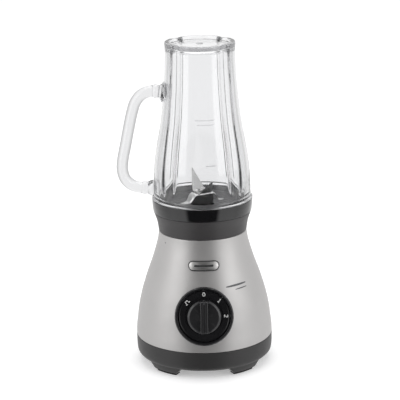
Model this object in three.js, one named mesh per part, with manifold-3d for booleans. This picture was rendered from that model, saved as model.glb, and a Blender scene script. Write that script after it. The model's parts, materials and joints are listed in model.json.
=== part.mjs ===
// Countertop personal blender: a motor base with a rotary switch, a lift-off blade carrier, and a
// clear fluted mug with a side handle that screws down onto it, mouth first.
// Frame: millimetres, +Z up, origin on the drive axis in the plane that the four feet stand on.
// -Y is the front (the dial side), -X is the side that the mug's handle points to.
import * as THREE from "three";
import { mergeVertices } from "three/addons/utils/BufferGeometryUtils.js";
import Module from "manifold-3d";

const wasm = await Module();
wasm.setup();

// ---------------------------------------------------------------- driving dimensions (mm)
const GAP = 0.3; // between neighbours that touch in the real object
const SEG = 36; // sides of a large turned piece

const SKIRT_BOTTOM = 8.0;
const SKIRT_TOP = 28.0;
const HOUSING_BOTTOM = 28.3;
const HOUSING_TOP = 136.4;
const COLLAR_TOP = 156.2;
const CARRIER_RING_BOTTOM = 156.6;
const CARRIER_RING_TOP = 169.2;
const MUG_SHOULDER = 169.5; // underside of the mug's bead
const MUG_MOUTH = 160.5; // end of the threaded neck
const MUG_TOP = 327.2; // foot ring of the upturned mug
const WALL = 2.8; // housing wall

const FOOT_IN = [26.0, 52.0]; // foot angles from the front or rear, degrees
const FOOT_OUT = [21.5, 55.5];
const POST_R = 57.0, POST_ANGLE = 66.0; // screw posts
const DECK_SCREW_R = 38.5;

const DIAL_TILT = THREE.MathUtils.degToRad(11.85);
const DIAL_CENTRE = new THREE.Vector3(0, -62.45, 64.35);
const DIAL_R = 29.0;
const KNOB_R = 16.9;

const BLADE_AZIMUTH = THREE.MathUtils.degToRad(27.3); // upper blade, turned from +Y towards -X
const BLADE_T = 1.2;
const BLADE_TIP_R = 21.8;

const SHAFT_R = 3.0; // blade spindle
const MOTOR_SHAFT_R = 4.0;

// ---------------------------------------------------------------- helpers
function solid(geometry) {
  let g = geometry.index ? geometry.toNonIndexed() : geometry.clone();
  g.deleteAttribute("normal");
  g.deleteAttribute("uv");
  g = mergeVertices(g, 1e-4);
  const idx = g.index.array, keep = [];
  for (let i = 0; i < idx.length; i += 3)
    if (idx[i] !== idx[i + 1] && idx[i + 1] !== idx[i + 2] && idx[i] !== idx[i + 2])
      keep.push(idx[i], idx[i + 1], idx[i + 2]);
  const make = (t) => new wasm.Manifold(new wasm.Mesh({ numProp: 3, vertProperties: new Float32Array(g.attributes.position.array), triVerts: new Uint32Array(t) }));
  let m = make(keep);
  if (m.volume() < 0) {
    for (let i = 0; i < keep.length; i += 3) [keep[i + 1], keep[i + 2]] = [keep[i + 2], keep[i + 1]];
    m = make(keep);
  }
  return m;
}
function geometryOf(m) {
  const mesh = m.getMesh(), n = mesh.numProp, v = new Float32Array(mesh.numVert * 3);
  for (let i = 0; i < mesh.numVert; i++) v.set(mesh.vertProperties.subarray(i * n, i * n + 3), i * 3);
  const g = new THREE.BufferGeometry().setAttribute("position", new THREE.BufferAttribute(v, 3)).setIndex(new THREE.BufferAttribute(new Uint32Array(mesh.triVerts), 1));
  g.computeVertexNormals();
  return g;
}
const root = new THREE.Group();
function add(name, m, material, group = root) {
  const mesh = new THREE.Mesh(m.isBufferGeometry ? m : geometryOf(m), material);
  mesh.name = name;
  group.add(mesh);
  return mesh;
}
// A turned piece about +Z. The profile is a list of [r, z], closed on itself, or starting and ending on the axis.
function turned(profile, seg = SEG) {
  const pts = profile.map(([r, z]) => new THREE.Vector2(r, z));
  if (profile[0][0] > 0) pts.push(pts[0].clone());
  return solid(new THREE.LatheGeometry(pts, seg).rotateX(Math.PI / 2));
}
const tube = (r0, r1, z0, z1, seg = 24) => turned([[r0, z0], [r1, z0], [r1, z1], [r0, z1]], seg);
const rod = (r, z0, z1, seg = 24) => turned([[0, z0], [r, z0], [r, z1], [0, z1]], seg);
const box = (x0, x1, y0, y1, z0, z1) => solid(new THREE.BoxGeometry(x1 - x0, y1 - y0, z1 - z0).translate((x0 + x1) / 2, (y0 + y1) / 2, (z0 + z1) / 2));
function moved(m, matrix) {
  return m.transform(Array.from(matrix.elements));
}
const at = (x, y, z, rz = 0) => new THREE.Matrix4().makeRotationZ(rz).setPosition(x, y, z);
// Two outlines with the same number of points, joined by a straight skin from z0 to z1.
function loft(a, z0, b, z1) {
  const n = a.length, pos = [], idx = [];
  a.forEach(([x, y]) => pos.push(x, y, z0));
  b.forEach(([x, y]) => pos.push(x, y, z1));
  for (let i = 0; i < n; i++) {
    const j = (i + 1) % n;
    idx.push(i, j, n + j, i, n + j, n + i);
  }
  for (const [p, q, r] of THREE.ShapeUtils.triangulateShape(a.map(([x, y]) => new THREE.Vector2(x, y)), [])) {
    idx.push(p, r, q, n + p, n + q, n + r);
  }
  return solid(new THREE.BufferGeometry().setAttribute("position", new THREE.BufferAttribute(new Float32Array(pos), 3)).setIndex(idx));
}
// Outline of an annular sector; angles in degrees from the -Y direction, positive towards +X.
function sector(r0, r1, a0, a1, n = 5) {
  const out = [];
  const p = (r, a) => [r * Math.sin(THREE.MathUtils.degToRad(a)), -r * Math.cos(THREE.MathUtils.degToRad(a))];
  for (let i = 0; i <= n; i++) out.push(p(r1, a0 + ((a1 - a0) * i) / n));
  for (let i = n; i >= 0; i--) out.push(p(r0, a0 + ((a1 - a0) * i) / n));
  return out;
}
function extruded(points, z0, z1, holes = []) {
  const shape = new THREE.Shape(points.map(([x, y]) => new THREE.Vector2(x, y)));
  holes.forEach((h) => shape.holes.push(new THREE.Path(h.map(([x, y]) => new THREE.Vector2(x, y)))));
  return solid(new THREE.ExtrudeGeometry(shape, { depth: z1 - z0, bevelEnabled: false }).translate(0, 0, z0));
}
const mat = (color, roughness, metalness = 0, extra = {}) => new THREE.MeshStandardMaterial({ color, roughness, metalness, ...extra });
const SILVER = mat(0xb9b7b6, 0.38, 0.55);
const CHARCOAL = mat(0x3a393a, 0.5);
const GLOSS_BLACK = mat(0x1a1a1b, 0.18);
const RUBBER = mat(0x111111, 0.8);
const CLEAR = mat(0xf4f4f8, 0.03, 0, { transparent: true, opacity: 0.35 });
const STEEL = mat(0xc9c9c7, 0.22, 1);
const ZINC = mat(0xa9abae, 0.4, 1);
const BRONZE = mat(0xa9834f, 0.4, 1);
const COPPER = mat(0xb4693a, 0.4, 1);
const LAMINATION = mat(0x6a6c70, 0.5, 0.8);
const SILICONE = mat(0xd9d9d6, 0.6);
const BAKELITE = mat(0x232323, 0.55);
const BOARD = mat(0x2f5d3a, 0.5);
const CARBON = mat(0x2a2a2c, 0.7);

// ---------------------------------------------------------------- base: skirt, feet, bottom plate
const posts = [];
for (const [sx, sy] of [[-1, -1], [1, -1], [1, 1], [-1, 1]]) {
  const a = THREE.MathUtils.degToRad(POST_ANGLE);
  posts.push([sx * POST_R * Math.sin(a), sy * POST_R * Math.cos(a)]);
}
let skirt = turned([[66.0, SKIRT_BOTTOM], [67.4, 9.3], [68.4, 12.2], [68.9, 17.5], [69.0, SKIRT_TOP], [66.3, SKIRT_TOP], [66.1, 17.5], [64.6, 11.6], [62.6, 10.6], [50.0, 10.6], [50.0, SKIRT_BOTTOM]]);
const footSides = [[1, 1], [-1, 1], [1, -1], [-1, -1]]; // right or left, front or rear
for (const [sx, sy] of footSides) {
  const place = (o) => { const q = o.map(([x, y]) => [x * sx, y * sy]); return sx * sy < 0 ? q.reverse() : q; };
  skirt = skirt.add(loft(place(sector(52.5, 64.6, ...FOOT_IN)), 2.5, place(sector(51.5, 65.9, ...FOOT_OUT)), 8.6));
}
for (const [x, y] of posts) skirt = skirt.subtract(moved(rod(2.0, 5, 12, 10), at(x, y, 0)));
const alongY = (y, z) => new THREE.Matrix4().makeRotationX(-Math.PI / 2).setPosition(0, y, z); // local +Z to +Y
skirt = skirt.subtract(moved(rod(5.4, -10, 10, 16), alongY(68, 19)));
add("base_skirt", skirt, CHARCOAL);

footSides.forEach(([sx, sy], i) => {
  const place = (o) => { const q = o.map(([x, y]) => [x * sx, y * sy]); return sx * sy < 0 ? q.reverse() : q; };
  const o = place(sector(54.0, 62.4, 27.5, 50.5));
  add(["foot_pad_front_right", "foot_pad_front_left", "foot_pad_rear_right", "foot_pad_rear_left"][i], loft(o, 0, o, 2.2), RUBBER);
});

let plate = turned([[0, 10.9], [60, 10.9], [60, 13.1], [0, 13.1]], 36);
for (let i = 0; i < 16; i++) plate = plate.subtract(moved(box(18, 45, -1.6, 1.6, 10, 14), at(0, 0, 0, ((i + 0.5) * Math.PI) / 8)));
for (const [x, y] of posts) plate = plate.subtract(moved(rod(2.0, 10, 14, 10), at(x, y, 0)));
add("bottom_plate", plate, BAKELITE);

posts.forEach(([x, y], i) => {
  add("bottom_screw_" + (i + 1), moved(turned([[0, 5.6], [3.2, 5.6], [4.0, 6.6], [4.0, 7.7], [1.4, 7.7], [1.4, 22], [0, 22]], 10), at(x, y, 0)), ZINC);
});
add("cord_inlet_bushing", moved(turned([[3.9, -7], [4.9, -7], [4.9, 1.3], [7.4, 1.3], [7.0, 3.2], [3.9, 3.2]], 20), alongY(68, 19)), RUBBER);

// ---------------------------------------------------------------- base: housing
const housingOuter = [[69.0, HOUSING_BOTTOM], [68.85, 35], [68.0, 42.5], [66.0, 57.5], [62.7, 72.5], [59.75, 82.5], [56.5, 92.5], [51.1, 107.5], [46.6, 122.5], [44.9, 130], [44.1, HOUSING_TOP]];
let housing = turned([...housingOuter, [41.3, HOUSING_TOP], [41.3, 126.5], [34.0, 126.5], [34.0, 122.0], [43.9, 122.0], [48.3, 107.5], [53.7, 92.5], [59.9, 72.5], [63.2, 57.5], [65.2, 42.5], [66.2, HOUSING_BOTTOM]], SEG);
for (const [x, y] of posts) housing = housing.add(moved(rod(4.0, 13.4, 74, 12), at(x, y, 0)));
for (const [x, y] of posts) housing = housing.subtract(moved(rod(1.8, 12, 24, 10), at(x, y, 0)));
const dialMatrix = new THREE.Matrix4().makeRotationX(Math.PI / 2 - DIAL_TILT).setPosition(DIAL_CENTRE);
housing = housing.subtract(moved(rod(DIAL_R + 0.35, -16, 12, 40), dialMatrix));
for (const s of [-1, 1]) housing = housing.subtract(moved(rod(1.8, 121, 125.2, 10), at(s * DECK_SCREW_R, 0, 0)));
add("base_housing", housing, SILVER);

// Neck collar: the dark socket that the blade carrier drops into, with four slots for its drive lugs.
let collar = turned([[8.0, 133.6], [40.9, 133.6], [40.9, 136.7], [44.2, 136.7], [44.7, 141.0], [45.8, 146.8], [47.3, 151.6], [48.9, COLLAR_TOP], [39.4, COLLAR_TOP], [39.4, 136.4], [12, 136.4], [12, 139.4], [8.0, 139.4]]);
for (let i = 0; i < 4; i++) collar = collar.subtract(moved(box(37, 41.9, -4.6, 4.6, 139.8, 160), at(0, 0, 0, Math.PI / 4 + (i * Math.PI) / 2)));
add("neck_collar", collar, CHARCOAL);

// Badge: a thin plate that follows the housing's cone.
const coneR = (z) => { for (let i = 1; i < housingOuter.length; i++) { const [r0, z0] = housingOuter[i - 1], [r1, z1] = housingOuter[i]; if (z <= z1) return r0 + ((r1 - r0) * (z - z0)) / (z1 - z0); } return 44; };
const b0 = 107.6, b1 = 116.8;
add("badge_plate", loft(sector(coneR(b0) + GAP, coneR(b0) + 1.0, -17, 17, 8), b0, sector(coneR(b1) + GAP, coneR(b1) + 1.0, -17.5, 17.5, 8), b1), ZINC);

// ---------------------------------------------------------------- dial, switch and knob, in the dial's own frame
const dial = new THREE.Group();
dial.applyMatrix4(dialMatrix);
root.add(dial);
add("dial_bezel", turned([[22.5, -10], [DIAL_R, -10], [DIAL_R, 0.6], [27.8, 1.8], [26.4, 1.8], [25.6, 1.0], [25.6, -3.9], [22.5, -3.9]], 40), GLOSS_BLACK, dial);
add("dial_plate", turned([[4.9, -3.6], [25.3, -3.6], [25.3, -1.2], [4.9, -1.2]], 36), GLOSS_BLACK, dial);
let sw = box(-14, 14, -13, 13, -31, -11).add(rod(4.5, -12, 0.6, 16));
sw = sw.subtract(rod(3.3, -8, 4, 16));
add("rotary_switch", sw, BAKELITE, dial);
add("switch_nut", turned([[4.8, -0.9], [7.6, -0.9], [7.6, 0.7], [4.8, 0.7]], 6).subtract(rod(4.8, -2, 2, 16)), ZINC, dial);
add("switch_shaft", rod(SHAFT_R, -7.5, 7.4, 14), ZINC, dial);
let knob = rod(KNOB_R, 0.9, 8.4, 36);
const grip = box(-4.4, 4.4, -20, 20, 8, 15.2).intersect(turned([[0, 7], [KNOB_R - 0.2, 7], [KNOB_R - 0.2, 13.2], [KNOB_R - 2.2, 15.2], [0, 15.2]], 36));
knob = knob.add(grip).subtract(rod(9, 0, 3.6, 20)).subtract(rod(3.3, 3, 7.8, 14));
add("control_knob", knob, GLOSS_BLACK, dial);

// ---------------------------------------------------------------- motor, fixed parts
const square = (h, r = 5) => { const o = []; for (const [cx, cy, a0] of [[h - r, h - r, 0], [r - h, h - r, 90], [r - h, r - h, 180], [h - r, r - h, 270]]) for (let k = 0; k <= 2; k++) { const a = THREE.MathUtils.degToRad(a0 + k * 45); o.push([cx + r * Math.cos(a), cy + r * Math.sin(a)]); } return o; };
const bolts = [[-22.5, -22.5], [22.5, 22.5]];
let top = extruded(square(27), 114, 117.4).add(box(-42, 42, -7, 7, 114, 117.4)).add(rod(11, 107, 115, 20)).subtract(rod(8.3, 106, 113.8, 20)).subtract(rod(5, 105, 120, 16));
let bottom = extruded(square(27), 41, 44).add(rod(11, 38.6, 42, 20)).subtract(rod(8.3, 40.2, 46, 20)).subtract(rod(5, 36, 46, 16));
let stator = extruded(square(27, 6), 62, 92).subtract(rod(20, 60, 95, 28));
for (const sx of [-1, 1]) for (const sy of [-1, 1]) stator = stator.subtract(box(Math.min(sx * 14, sx * 25.9), Math.max(sx * 14, sx * 25.9), Math.min(sy * 10.6, sy * 17.4), Math.max(sy * 10.6, sy * 17.4), 60, 95));
for (const [x, y] of bolts) {
  const h = moved(rod(2.2, 30, 112, 10), at(x, y, 0));
  bottom = bottom.subtract(h);
  stator = stator.subtract(h);
}
const deck = [[-DECK_SCREW_R, 0], [DECK_SCREW_R, 0]];
for (const [x, y] of deck) top = top.subtract(moved(rod(2.0, 110, 120, 10), at(x, y, 0)));
add("motor_top_bracket", top, ZINC);
add("motor_bottom_bracket", bottom, ZINC);
add("stator_core", stator, LAMINATION);
for (const [name, sx] of [["field_coil_left", -1], ["field_coil_right", 1]]) {
  const x0 = Math.min(sx * 20.6, sx * 25.5), x1 = Math.max(sx * 20.6, sx * 25.5);
  add(name, box(x0, x1, -17.1, 17.1, 55, 99).subtract(box(x0 - 1, x1 + 1, -10.9, 10.9, 61.6, 92.4)), COPPER);
}
bolts.forEach(([x, y], i) => add("motor_bolt_" + (i + 1), moved(turned([[0, 38], [3.4, 38], [3.4, 40.6], [1.8, 40.6], [1.8, 113.6], [0, 113.6]], 10), at(x, y, 0)), ZINC));
deck.forEach(([x, y], i) => {
  add("motor_grommet_" + (i + 1), moved(tube(2.1, 5.4, 117.7, 121.7, 12), at(x, y, 0)), RUBBER);
  add("motor_screw_" + (i + 1), moved(turned([[0, 111.4], [3.6, 111.4], [3.6, 113.7], [1.4, 113.7], [1.4, 124.8], [0, 124.8]], 10), at(x, y, 0)), ZINC);
});
add("upper_motor_bearing", tube(4.3, 8.0, 108.6, 113.5, 20), BRONZE);
add("lower_motor_bearing", tube(4.3, 8.0, 40.5, 43.9, 20), BRONZE);
for (const [side, sx] of [["left", -1], ["right", 1]]) {
  const span = (a, b) => [Math.min(sx * a, sx * b), Math.max(sx * a, sx * b)];
  const [h0, h1] = span(12.5, 29), [c0, c1] = span(11.9, 30), [k0, k1] = span(10.9, 24);
  add("brush_holder_" + side, box(h0, h1, -5, 5, 44.3, 54.3).subtract(box(c0, c1, -3.3, 3.3, 46.0, 52.6)), BRONZE);
  add("carbon_brush_" + side, box(k0, k1, -3.0, 3.0, 46.3, 52.3), CARBON);
}
// ---------------------------------------------------------------- motor, turning parts
add("motor_shaft", rod(MOTOR_SHAFT_R, 16, 140.4, 16), STEEL);
const armature = [];
for (let i = 0; i < 12; i++) for (const [da, r] of [[-10.5, 18.6], [10.5, 18.6], [12, 13], [18, 13]]) { const a = THREE.MathUtils.degToRad(i * 30 + da); armature.push([r * Math.cos(a), r * Math.sin(a)]); }
add("armature_core", extruded(armature, 61, 93).subtract(rod(4.3, 60, 95, 16)), LAMINATION);
add("armature_winding_upper", turned([[5, 93.3], [16.5, 93.3], [16.5, 98], [13, 101], [5, 101]], 24), COPPER);
add("armature_winding_lower", turned([[5, 56.4], [14, 56.4], [16.5, 58.5], [16.5, 60.7], [5, 60.7]], 24), COPPER);
add("commutator", tube(4.3, 10.4, 45.2, 56.1, 24), COPPER);
let fan = tube(4.3, 9, 19, 34, 18).add(tube(8.5, 31, 32, 34, 32));
for (let i = 0; i < 9; i++) fan = fan.add(moved(box(8.4, 30.5, -0.9, 0.9, 20, 32.5), at(0, 0, 0, (i * 2 * Math.PI) / 9)));
add("cooling_fan", fan, BAKELITE);
// Jaw coupling: a six-point star on the blade spindle drops into a matching socket on the motor shaft.
const star = (r0, r1, off = 0) => { const o = []; for (let i = 0; i < 6; i++) for (const [da, r] of [[-11, r1 + off], [11, r1 + off], [19, r0 + off], [41, r0 + off]]) { const a = THREE.MathUtils.degToRad(i * 60 + da); o.push([r * Math.cos(a), r * Math.sin(a)]); } return o; };
let cup = rod(15.5, 140, 149, 36).subtract(extruded(star(7.2, 11.2, 0.7), 143, 150));
cup = cup.subtract(rod(4.3, 139, 144, 16));
add("drive_coupler", cup, BAKELITE);

// ---------------------------------------------------------------- electrical
add("circuit_board", box(-21, 21, 46, 47.6, 13.5, 44), BOARD);

// ---------------------------------------------------------------- blade carrier
let carrier = turned([
  [9.0, 157.6], [13, 157.6], [30, 158.0], [35.5, 159.0], [38.4, 161.2], [39.8, 164.0], [41.5, 164.0],
  [41.6, 158.8], [46.9, 158.8], [46.9, CARRIER_RING_TOP], [50.3, CARRIER_RING_TOP], [50.2, 164], [49.9, 160.2], [49.2, CARRIER_RING_BOTTOM],
  [38.7, CARRIER_RING_BOTTOM], [38.7, 142.0], [36.2, 142.0], [36.2, 154.0], [9.0, 154.0],
]);
for (let i = 0; i < 4; i++) carrier = carrier.add(moved(box(37.5, 41.2, -3.8, 3.8, 142.0, 153), at(0, 0, 0, Math.PI / 4 + (i * Math.PI) / 2)));
add("blade_carrier", carrier, GLOSS_BLACK);
add("mug_seal_ring", tube(42.2, 46.3, 159.1, 160.2, 40), SILICONE);
add("bearing_pillar", turned([[4.6, 149.5], [8.7, 149.5], [8.7, 157.9], [12.4, 157.9], [12.4, 159.6], [11.2, 160.6], [11.0, 170.4], [9.8, 171.8], [4.6, 171.8]], 28), GLOSS_BLACK);
add("pillar_nut", turned([[9.0, 150.2], [14, 150.2], [14, 153.7], [9.0, 153.7]], 6).subtract(rod(9.0, 149, 155, 24)), ZINC);
add("upper_spindle_bush", tube(3.3, 4.3, 161, 169.5, 16), BRONZE);
add("lower_spindle_bush", tube(3.3, 4.3, 150, 159, 16), BRONZE);
add("spindle_seal", tube(3.3, 4.3, 169.8, 171.5, 16), RUBBER);
add("blade_spindle", turned([[0, 141.6], [SHAFT_R, 141.6], [SHAFT_R, 172.1], [2.3, 172.1], [2.3, 178.8], [0, 178.8]], 16), STEEL);
add("driven_coupler", extruded(star(7.2, 11.2), 143.6, 148.9).subtract(rod(3.3, 140, 150, 16)), BAKELITE);

// A bent strip blade: a centre line of [distance, height, half width] from the middle to the tip. The other arm has the
// same plan, and its heights are multiplied by "drop".
function blade(line, z0, azimuth, drop = 1) {
  const n = line.length, rows = [];
  const along = (l0) => { const out = l0.map((p, i) => { const a = l0[Math.max(0, i - 1)], b = l0[Math.min(n - 1, i + 1)]; const dx = b[0] - a[0], dz = b[1] - a[1], l = Math.hypot(dx, dz); return [-dz / l, dx / l]; }); out[0] = [0, 1]; return out; };
  const other = line.map(([d, h, w]) => [d, h * drop, w]), normals = along(line), backs = along(other);
  for (let i = n - 1; i > 0; i--) rows.push([-other[i][0], other[i][1], other[i][2], -backs[i][0], backs[i][1]]);
  for (let i = 0; i < n; i++) rows.push([...line[i], ...normals[i]]);
  const pos = [], idx = [];
  for (const [d, h, w, nx, nz] of rows) for (const s of [0, BLADE_T]) for (const e of [-1, 1]) pos.push(e * w, d + nx * s, z0 + h + nz * s);
  const q = (a, b, c, d) => idx.push(a, b, c, a, c, d);
  for (let i = 0; i + 1 < rows.length; i++) { const k = 4 * i, l = k + 4; q(k, k + 1, l + 1, l); q(k + 2, l + 2, l + 3, k + 3); q(k, l, l + 2, k + 2); q(k + 1, k + 3, l + 3, l + 1); }
  const e = 4 * (rows.length - 1);
  q(0, 2, 3, 1); q(e, e + 1, e + 3, e + 2);
  const g = new THREE.BufferGeometry().setAttribute("position", new THREE.BufferAttribute(new Float32Array(pos), 3)).setIndex(idx);
  return moved(solid(g).subtract(rod(2.6, z0 - 5, z0 + 10, 12)), new THREE.Matrix4().makeRotationZ(azimuth));
}
add("upper_blade", blade([[0, 0, 7], [6.6, 0, 7], [8.2, 1.7, 6.6], [15, 11.1, 3.9], [BLADE_TIP_R, 20.3, 0.4]], 173.9, BLADE_AZIMUTH, 0.78), STEEL);
add("lower_blade", blade([[0, 0, 6.2], [8.8, 0, 6.2], [10.8, -0.7, 6.1], [12.4, -2.4, 6.0], [14.6, -6.2, 5.4], [17, -8.4, 4.6], [24.6, -9.9, 0.7]], 172.4, BLADE_AZIMUTH + Math.PI / 2), STEEL);
add("blade_nut", turned([[2.6, 175.4], [4.6, 175.4], [4.6, 178.0], [2.6, 178.0]], 6).subtract(rod(2.6, 175, 179, 12)), STEEL);

// ---------------------------------------------------------------- mug: a clear body with four flutes, and its handle
const mugOuter = [[46.2, MUG_MOUTH, 0], [46.2, MUG_SHOULDER, 0], [50.4, MUG_SHOULDER, 0], [50.3, 172.6, 0], [48.9, 175.2, 0], [48.6, 180, 0.9], [48.5, 186, 3.2], [48.2, 193, 4.6], [46.9, 207, 4.6], [43.8, 227, 4.0], [40.1, 247, 3.4], [37.7, 267, 3.0], [35.9, 287, 2.8], [34.8, 307, 2.6], [34.6, 321, 2.4], [34.8, 325.6, 2.2], [33.9, MUG_TOP, 2.2]];
const mugInner = [[31.5, MUG_TOP, 2.2], [30.5, 325.0, 2.0], [0, 325.0, 0], null, [0, 322.3, 0], [27.5, 322.1, 0.6], [30.2, 319.3, 1.0], [31.0, 307, 1.2], [32.4, 287, 1.3], [34.1, 267, 1.4], [36.4, 247, 1.7], [39.9, 227, 2.1], [42.9, 207, 2.4], [44.1, 193, 2.3], [44.3, 186, 1.7], [44.2, 180, 0.6], [43.4, 174.5, 0], [42.6, 171, 0], [42.6, MUG_MOUTH, 0]];
const fluteAngles = [];
for (let q = 0; q < 4; q++) for (const a of [34.5, 38.0, 41.5, 45, 48.5, 52.0, 55.5, 72.75, 90, 107.25]) fluteAngles.push(q * 90 + a);
const fluteShape = (deg) => { const d = Math.abs((((deg - 45) % 90) + 90) % 90), t = Math.min(d, 90 - d) / 10.5; return t < 1 ? 1 - t * t : 0; };
function fluted(profile) {
  // profile: [r, z, depth] from one axis point to the other
  const m = fluteAngles.length, pos = [], idx = [], rings = [];
  for (const [r, z, d] of profile) {
    if (r === 0) { rings.push([pos.length / 3]); pos.push(0, 0, z); continue; }
    const ring = [];
    for (const a of fluteAngles) { const rr = r - d * fluteShape(a), t = THREE.MathUtils.degToRad(a); ring.push(pos.length / 3); pos.push(rr * Math.sin(t), -rr * Math.cos(t), z); }
    rings.push(ring);
  }
  for (let i = 0; i + 1 < rings.length; i++) {
    const a = rings[i], b = rings[i + 1];
    for (let k = 0; k < m; k++) {
      const l = (k + 1) % m;
      if (a.length === 1) idx.push(a[0], b[l], b[k]);
      else if (b.length === 1) idx.push(a[k], a[l], b[0]);
      else idx.push(a[k], a[l], b[l], a[k], b[l], b[k]);
    }
  }
  return solid(new THREE.BufferGeometry().setAttribute("position", new THREE.BufferAttribute(new Float32Array(pos), 3)).setIndex(idx));
}
const cut = mugInner.indexOf(null);
const mugLoop = [...mugInner.slice(cut + 1), ...mugOuter, ...mugInner.slice(0, cut)];
add("mug_body", fluted(mugLoop), CLEAR);

const handlePath = new THREE.CatmullRomCurve3([[-33, 276.6], [-42, 277.8], [-50, 278.0], [-58.6, 274.6], [-64.6, 267.6], [-68.2, 257.5], [-71.2, 244], [-75.4, 224], [-78.6, 208], [-79.0, 197.5], [-76.0, 188.2], [-68.4, 182.0], [-59, 180.0], [-51, 179.5], [-45, 179.4]].map(([x, z]) => new THREE.Vector3(x, 0, z)), false, "centripetal");
const section = new THREE.Shape();
for (let k = 0; k < 12; k++) { const a = (k * Math.PI) / 6; const x = 5.75 * Math.cos(a), y = 6.4 * Math.sin(a); k ? section.lineTo(x, y) : section.moveTo(x, y); }
let handle = solid(new THREE.ExtrudeGeometry(section, { extrudePath: handlePath, steps: 30, bevelEnabled: false }));
const alongX = (x, z) => new THREE.Matrix4().makeRotationY(-Math.PI / 2).setPosition(x, 0, z); // local +Z to -X
handle = handle.add(moved(rod(10.4, 0, 4.6, 20), alongX(-35.5, 276.6))).add(moved(rod(7.6, 4, 8.6, 20), alongX(-35.5, 276.8)));
handle = handle.add(moved(rod(8.4, 0, 3.4, 20), alongX(-48.8, 179.4))).add(moved(rod(7.2, 3, 7.2, 20), alongX(-48.8, 179.5)));
// Trimmed to sit on the mug's wall.
handle = handle.subtract(turned([[0, 165], [51.0, 165], [50.7, 172.8], [49.35, 175.2], [49.0, 180], [48.9, 187], [48.7, 193], [47.4, 207], [44.3, 227], [40.6, 247], [38.2, 267], [36.4, 287], [35.3, 307], [0, 307]], 64));
handle = handle.decompose().sort((a, b) => b.volume() - a.volume())[0];
add("mug_handle", handle, CLEAR);

export default root;
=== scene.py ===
import json
import math
import bpy
import bmesh
from mathutils import Matrix, Vector


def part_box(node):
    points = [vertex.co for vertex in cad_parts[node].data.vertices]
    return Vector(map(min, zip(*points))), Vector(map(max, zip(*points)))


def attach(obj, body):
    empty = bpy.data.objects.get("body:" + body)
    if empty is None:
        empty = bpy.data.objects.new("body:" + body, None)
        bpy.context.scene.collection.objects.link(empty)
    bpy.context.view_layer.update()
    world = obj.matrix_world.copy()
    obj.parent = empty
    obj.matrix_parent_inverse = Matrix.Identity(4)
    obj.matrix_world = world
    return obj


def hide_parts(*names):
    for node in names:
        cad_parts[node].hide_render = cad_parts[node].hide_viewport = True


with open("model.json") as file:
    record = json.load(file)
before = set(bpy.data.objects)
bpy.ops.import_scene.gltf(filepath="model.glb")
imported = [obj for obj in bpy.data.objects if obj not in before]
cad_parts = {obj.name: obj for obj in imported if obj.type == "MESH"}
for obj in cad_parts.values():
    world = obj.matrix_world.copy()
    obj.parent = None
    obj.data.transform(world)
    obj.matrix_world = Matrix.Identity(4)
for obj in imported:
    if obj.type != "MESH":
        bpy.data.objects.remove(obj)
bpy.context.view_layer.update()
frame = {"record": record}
SCENE = bpy.context.scene
MM = 0.001


# ---------------------------------------------------------------- camera
def make_camera():
    cam = bpy.data.cameras.new("camera")
    cam.sensor_width = 36.0
    cam.lens = 144.47
    cam.shift_x = -0.0057
    cam.clip_start, cam.clip_end = 0.05, 30
    ob = bpy.data.objects.new("camera", cam)
    SCENE.collection.objects.link(ob)
    ob.matrix_world = (Matrix.Translation((0, -1.5532, 0.5929)) @ Matrix.Rotation(math.radians(90 - 15.371), 4, "X")
                       @ Matrix.Rotation(math.radians(-0.938), 4, "Z"))
    SCENE.camera = ob


make_camera()


# ---------------------------------------------------------------- materials
class Nodes:
    """A small wrapper that lays out a material's nodes."""

    def __init__(self, name):
        self.mat = bpy.data.materials.new(name)
        self.mat.use_nodes = True
        self.tree = self.mat.node_tree
        self.bsdf = next(n for n in self.tree.nodes if n.type == "BSDF_PRINCIPLED")
        self.coord = self.new("ShaderNodeTexCoord").outputs["Object"]

    def new(self, kind, **inputs):
        n = self.tree.nodes.new(kind)
        for k, v in inputs.items():
            n.inputs[k.replace("_", " ")].default_value = v
        return n

    def link(self, a, b):
        self.tree.links.new(a, b)

    def noise(self, scale, detail=3.0, rough=0.55, stretch=None, distort=0.0):
        n = self.new("ShaderNodeTexNoise", Scale=scale, Detail=detail, Roughness=rough, Distortion=distort)
        src = self.coord
        if stretch:
            m = self.new("ShaderNodeMapping")
            m.inputs["Scale"].default_value = stretch
            self.link(src, m.inputs["Vector"])
            src = m.outputs["Vector"]
        self.link(src, n.inputs["Vector"])
        return n.outputs["Fac"]

    def range(self, fac, lo, hi, a=0.3, b=0.7):
        m = self.new("ShaderNodeMapRange")
        m.inputs["From Min"].default_value, m.inputs["From Max"].default_value = a, b
        m.inputs["To Min"].default_value, m.inputs["To Max"].default_value = lo, hi
        self.link(fac, m.inputs["Value"])
        return m.outputs["Result"]

    def mix(self, fac, a, b):
        m = self.tree.nodes.new("ShaderNodeMix")
        m.data_type = "RGBA"
        for s, v in ((m.inputs[6], a), (m.inputs[7], b)):
            if isinstance(v, (tuple, list)):
                s.default_value = (*v[:3], 1)
            else:
                self.link(v, s)
        self.link(fac, m.inputs[0])
        return m.outputs[2]

    def bump(self, parts):
        """parts: (height socket, strength, distance in metres), chained."""
        normal = None
        for height, strength, dist in parts:
            b = self.new("ShaderNodeBump", Strength=strength, Distance=dist)
            self.link(height, b.inputs["Height"])
            if normal:
                self.link(normal, b.inputs["Normal"])
            normal = b.outputs["Normal"]
        self.link(normal, self.bsdf.inputs["Normal"])

    def set(self, **kw):
        for k, v in kw.items():
            self.bsdf.inputs[k.replace("_", " ")].default_value = v


def shade(c, k):
    return tuple(min(1.0, x * k) for x in c)


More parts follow.
